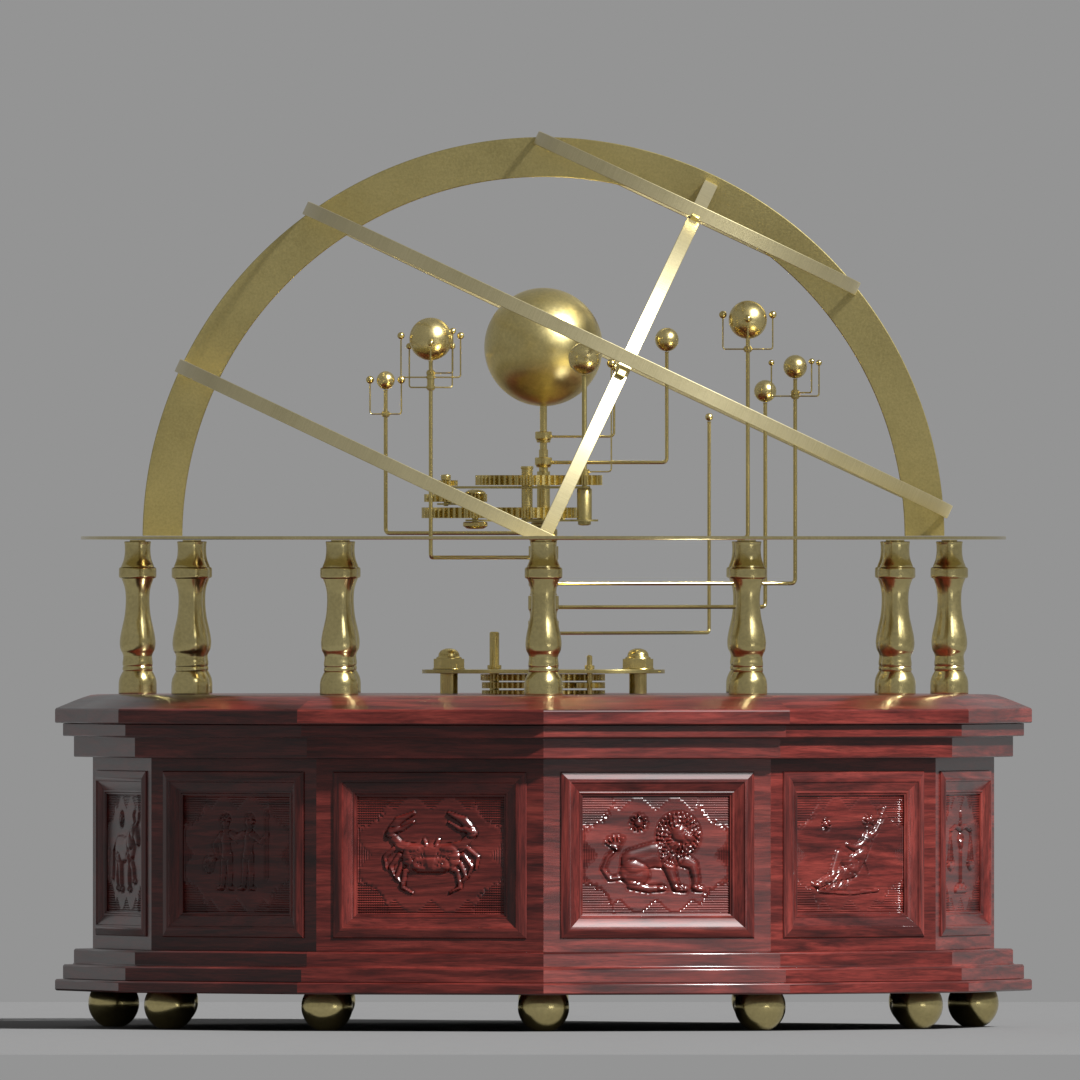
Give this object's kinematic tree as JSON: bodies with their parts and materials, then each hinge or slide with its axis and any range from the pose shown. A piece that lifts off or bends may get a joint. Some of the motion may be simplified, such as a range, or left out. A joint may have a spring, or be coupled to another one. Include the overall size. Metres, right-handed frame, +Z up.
{
  "type": "orrery",
  "caption": "Table-top orrery: planets on geared arms under an armillary dome, over a polygonal wooden case on ball feet and turned columns.",
  "frame": {"origin": "on the Sun's vertical axis, on the surface that the feet stand on", "axes": "+Z up, +X to the right and -Y towards the viewer, with the flat meridian arch in the XZ plane"},
  "size_m": [0.982, 0.982, 0.9002],
  "materials": {
    "polished_brass": "polished, faintly mottled",
    "satin_brass": "brushed, satin",
    "mahogany": "french polished, gloss"
  },
  "bodies": {
    "case": {"base_board_with_feet": "mahogany", "plinth_moulding": "mahogany", "case_wall": "mahogany", "cornice_moulding": "mahogany", "top_board": "mahogany", "column_01": "polished_brass", "column_02": "polished_brass", "column_03": "polished_brass", "column_04": "polished_brass", "column_05": "polished_brass", "column_06": "polished_brass", "column_07": "polished_brass", "column_08": "polished_brass", "column_09": "polished_brass", "column_10": "polished_brass", "column_11": "polished_brass", "column_12": "polished_brass", "horizon_ring": "satin_brass", "meridian_arch": "satin_brass", "equator_hoop": "satin_brass", "tropic_hoop": "satin_brass", "polar_hoop": "satin_brass", "colure_hoop": "satin_brass", "bridge_plate": "satin_brass", "bridge_pillar_left": "polished_brass", "bridge_pillar_right": "polished_brass", "centre_post": "polished_brass", "sun": "polished_brass", "fixed_axis_wheel": "polished_brass"},
    "earth": {"earth_carriage": "satin_brass", "drive_wheel_upper": "polished_brass"},
    "mercury": {"mercury_arm": "polished_brass", "mercury_ball": "polished_brass"},
    "venus": {"venus_arm": "polished_brass", "venus_ball": "polished_brass"},
    "mars": {"mars_arm": "polished_brass", "mars_ball": "polished_brass", "drive_wheel_middle": "polished_brass"},
    "jupiter": {"jupiter_arm": "polished_brass", "jupiter_ball": "polished_brass", "drive_wheel_lower": "polished_brass"},
    "saturn": {"saturn_arm": "polished_brass", "saturn_ball": "polished_brass"},
    "uranus": {"uranus_arm": "polished_brass", "uranus_ball": "polished_brass"},
    "neptune": {"neptune_arm": "polished_brass", "neptune_ball": "polished_brass"},
    "pluto": {"pluto_arm": "polished_brass", "pluto_ball": "polished_brass"},
    "mars_moons": {"mars_satellites": "polished_brass"},
    "jupiter_moons": {"jupiter_satellites": "polished_brass"},
    "saturn_moons": {"saturn_satellites": "polished_brass"},
    "uranus_moons": {"uranus_satellites": "polished_brass"},
    "left_wheel": {"left_wheel": "polished_brass"},
    "upper_wheel": {"upper_wheel": "polished_brass"},
    "setting_arbor": {"setting_arbor": "polished_brass"},
    "moon": {"moon_carrier": "polished_brass"},
    "earth_globe": {"earth_globe": "polished_brass"},
    "drive_arbor_left": {"drive_arbor_left": "polished_brass"},
    "drive_arbor_right": {"drive_arbor_right": "polished_brass"}
  },
  "joints": [
    {"name": "earth_orbit", "type": "hinge", "parent": "case", "child": "earth", "pos_m": [0, 0, 0.508], "axis": [0, 0, 1], "continuous": true},
    {"name": "mercury_orbit", "type": "hinge", "parent": "case", "child": "mercury", "pos_m": [0, 0, 0.593], "axis": [0, 0, 1], "continuous": true},
    {"name": "venus_orbit", "type": "hinge", "parent": "case", "child": "venus", "pos_m": [0, 0, 0.567], "axis": [0, 0, 1], "continuous": true},
    {"name": "mars_orbit", "type": "hinge", "parent": "case", "child": "mars", "pos_m": [0, 0, 0.496], "axis": [0, 0, 1], "continuous": true},
    {"name": "jupiter_orbit", "type": "hinge", "parent": "case", "child": "jupiter", "pos_m": [0, 0, 0.491], "axis": [0, 0, 1], "continuous": true},
    {"name": "saturn_orbit", "type": "hinge", "parent": "case", "child": "saturn", "pos_m": [0, 0, 0.4715], "axis": [0, 0, 1], "continuous": true},
    {"name": "uranus_orbit", "type": "hinge", "parent": "case", "child": "uranus", "pos_m": [0, 0, 0.4453], "axis": [0, 0, 1], "continuous": true},
    {"name": "neptune_orbit", "type": "hinge", "parent": "case", "child": "neptune", "pos_m": [0, 0, 0.4215], "axis": [0, 0, 1], "continuous": true},
    {"name": "pluto_orbit", "type": "hinge", "parent": "case", "child": "pluto", "pos_m": [0, 0, 0.3953], "axis": [0, 0, 1], "continuous": true},
    {"name": "mars_satellites_turn", "type": "hinge", "parent": "mars", "child": "mars_moons", "pos_m": [-0.15902, 0.12859, 0.616], "axis": [0, 0, 1], "continuous": true},
    {"name": "jupiter_satellites_turn", "type": "hinge", "parent": "jupiter", "child": "jupiter_moons", "pos_m": [0.205, -0.09866, 0.6805], "axis": [0, 0, 1], "continuous": true},
    {"name": "saturn_satellites_turn", "type": "hinge", "parent": "saturn", "child": "saturn_moons", "pos_m": [-0.11278, -0.23815, 0.648], "axis": [0, 0, 1], "continuous": true},
    {"name": "uranus_satellites_turn", "type": "hinge", "parent": "uranus", "child": "uranus_moons", "pos_m": [0.25361, 0.10891, 0.635], "axis": [0, 0, 1], "continuous": true},
    {"name": "left_wheel_turn", "type": "hinge", "parent": "earth", "child": "left_wheel", "pos_m": [-0.0685, -0.04862, 0.516], "axis": [0, 0, 1], "continuous": true},
    {"name": "upper_wheel_turn", "type": "hinge", "parent": "earth", "child": "upper_wheel", "pos_m": [-0.01643, -0.11707, 0.549], "axis": [0, 0, 1], "continuous": true},
    {"name": "setting_arbor_turn", "type": "hinge", "parent": "earth", "child": "setting_arbor", "pos_m": [-0.098, -0.05407, 0.531], "axis": [0, 0, 1], "continuous": true},
    {"name": "moon_orbit", "type": "hinge", "parent": "earth", "child": "moon", "pos_m": [0.041, -0.14958, 0.549], "axis": [0, 0, 1], "continuous": true},
    {"name": "earth_spin", "type": "hinge", "parent": "earth", "child": "earth_globe", "pos_m": [0.041, -0.14958, 0.671], "axis": [0, 0, 1], "continuous": true},
    {"name": "drive_arbor_left_turn", "type": "hinge", "parent": "case", "child": "drive_arbor_left", "pos_m": [-0.0494, 0.05238, 0.351], "axis": [0, 0, 1], "continuous": true},
    {"name": "drive_arbor_right_turn", "type": "hinge", "parent": "case", "child": "drive_arbor_right", "pos_m": [0.0463, -0.05514, 0.343], "axis": [0, 0, 1], "continuous": true}
  ],
  "couplings": [
    {"joint": "mercury_orbit", "follows": "earth_orbit", "ratio": 4.1528},
    {"joint": "venus_orbit", "follows": "earth_orbit", "ratio": 1.6255},
    {"joint": "mars_orbit", "follows": "earth_orbit", "ratio": 0.53169},
    {"joint": "jupiter_orbit", "follows": "earth_orbit", "ratio": 0.084303},
    {"joint": "saturn_orbit", "follows": "earth_orbit", "ratio": 0.033948},
    {"joint": "uranus_orbit", "follows": "earth_orbit", "ratio": 0.011902},
    {"joint": "neptune_orbit", "follows": "earth_orbit", "ratio": 0.006068},
    {"joint": "pluto_orbit", "follows": "earth_orbit", "ratio": 0.004034},
    {"joint": "left_wheel_turn", "follows": "earth_orbit", "ratio": 0.61538},
    {"joint": "upper_wheel_turn", "follows": "earth_orbit", "ratio": -0.94118},
    {"joint": "moon_orbit", "follows": "earth_orbit", "ratio": 2.9412},
    {"joint": "setting_arbor_turn", "follows": "earth_orbit", "ratio": -0.30769},
    {"joint": "drive_arbor_left_turn", "follows": "earth_orbit", "ratio": -5},
    {"joint": "drive_arbor_right_turn", "follows": "earth_orbit", "ratio": -2.6584}
  ]
}
